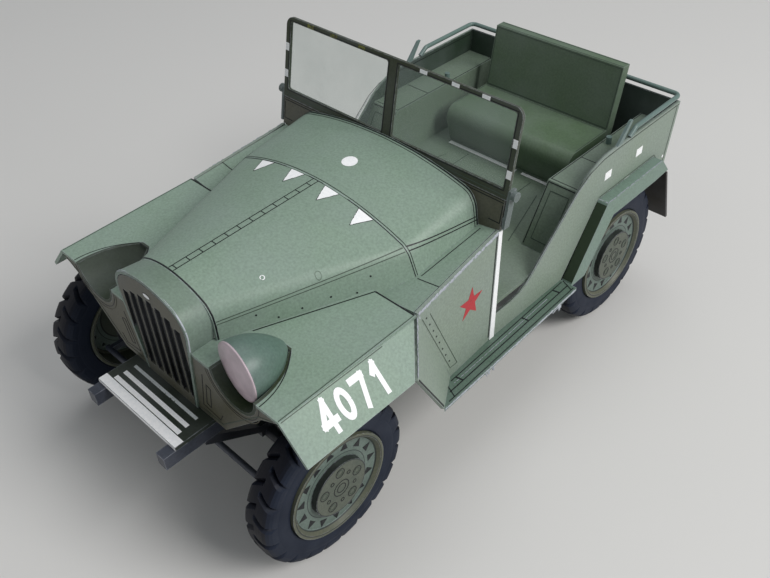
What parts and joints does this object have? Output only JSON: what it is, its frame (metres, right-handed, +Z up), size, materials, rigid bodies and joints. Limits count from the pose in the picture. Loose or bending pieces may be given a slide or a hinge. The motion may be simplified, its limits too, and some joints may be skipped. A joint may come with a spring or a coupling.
{
  "type": "card model army car",
  "caption": "Card model of an open four-wheel-drive army scout car with two-pane windscreen, slatted grille, rear bench and freely rolling wheels.",
  "frame": {"origin": "middle of the car's box, on the ground under the tyres; the car's own middle plane lies 1.45 mm to its left, because the front right wheel stands further out", "axes": "+X to the car's left, -Y to its front, +Z up"},
  "size_m": [0.0746, 0.1254, 0.0682],
  "materials": {
    "green_card": "printed speckled olive green card",
    "brown_card": "printed brownish olive card",
    "seat_card": "printed dark olive card",
    "flap_card": "printed dark brown card",
    "wheel_card": "printed grey-green card",
    "tread_card": "blue-black laminated card",
    "dark_card": "dark grey-green card",
    "rod": "painted blue-grey rod",
    "lens_card": "printed pinkish beige card",
    "film": "clear, slightly hazy film"
  },
  "bodies": {
    "car": {"bench_back": "seat_card", "bench_cushion": "seat_card", "bonnet": "green_card", "box_catches": "rod", "bulkhead": "green_card", "chassis_rail_left": "dark_card", "chassis_rail_right": "dark_card", "cowl_deck_left": "green_card", "cowl_deck_right": "green_card", "cowl_side_left": "green_card", "cowl_side_right": "green_card", "cowl_top": "green_card", "cross_members": "dark_card", "dash": "brown_card", "floor": "green_card", "front_apron_left": "brown_card", "front_apron_right": "brown_card", "front_axle": "dark_card", "front_platform": "green_card", "front_springs": "dark_card", "front_wing_left": "green_card", "front_wing_right": "green_card", "grab_rail": "rod", "grille": "brown_card", "headlamp_lens": "lens_card", "headlamp_shell": "green_card", "lamp_pocket_left": "green_card", "lamp_pocket_right": "green_card", "mud_flap_left": "flap_card", "mud_flap_right": "flap_card", "radiator_core": "dark_card", "radiator_shell": "green_card", "rear_axle": "dark_card", "rear_springs": "dark_card", "rear_wing_left": "green_card", "rear_wing_right": "green_card", "running_board_left": "green_card", "running_board_right": "green_card", "screen_bracket_left": "brown_card", "screen_bracket_right": "brown_card", "side_posts": "rod", "tie_rod": "rod", "tub_rear": "green_card", "tub_side_left": "green_card", "tub_side_right": "green_card", "wheel_box_left": "green_card", "wheel_box_right": "green_card", "windscreen_frame": "brown_card", "windscreen_pane_left": "film", "windscreen_pane_right": "film"},
    "roll_front_left": {"tyre_front_left": "tread_card", "wheel_front_left": "wheel_card"},
    "roll_front_right": {"tyre_front_right": "tread_card", "wheel_front_right": "wheel_card"},
    "roll_rear_left": {"tyre_rear_left": "tread_card", "wheel_rear_left": "wheel_card"},
    "roll_rear_right": {"tyre_rear_right": "tread_card", "wheel_rear_right": "wheel_card"}
  },
  "joints": [
    {"name": "front_left_wheel_spin", "type": "hinge", "parent": "car", "child": "roll_front_left", "pos_m": [0.02745, -0.04175, 0.0162], "axis": [1, 0, 0], "continuous": true},
    {"name": "front_right_wheel_spin", "type": "hinge", "parent": "car", "child": "roll_front_right", "pos_m": [-0.03355, -0.04175, 0.0162], "axis": [1, 0, 0], "continuous": true},
    {"name": "rear_left_wheel_spin", "type": "hinge", "parent": "car", "child": "roll_rear_left", "pos_m": [0.02745, 0.04225, 0.0162], "axis": [1, 0, 0], "continuous": true},
    {"name": "rear_right_wheel_spin", "type": "hinge", "parent": "car", "child": "roll_rear_right", "pos_m": [-0.02455, 0.04225, 0.0162], "axis": [1, 0, 0], "continuous": true}
  ]
}
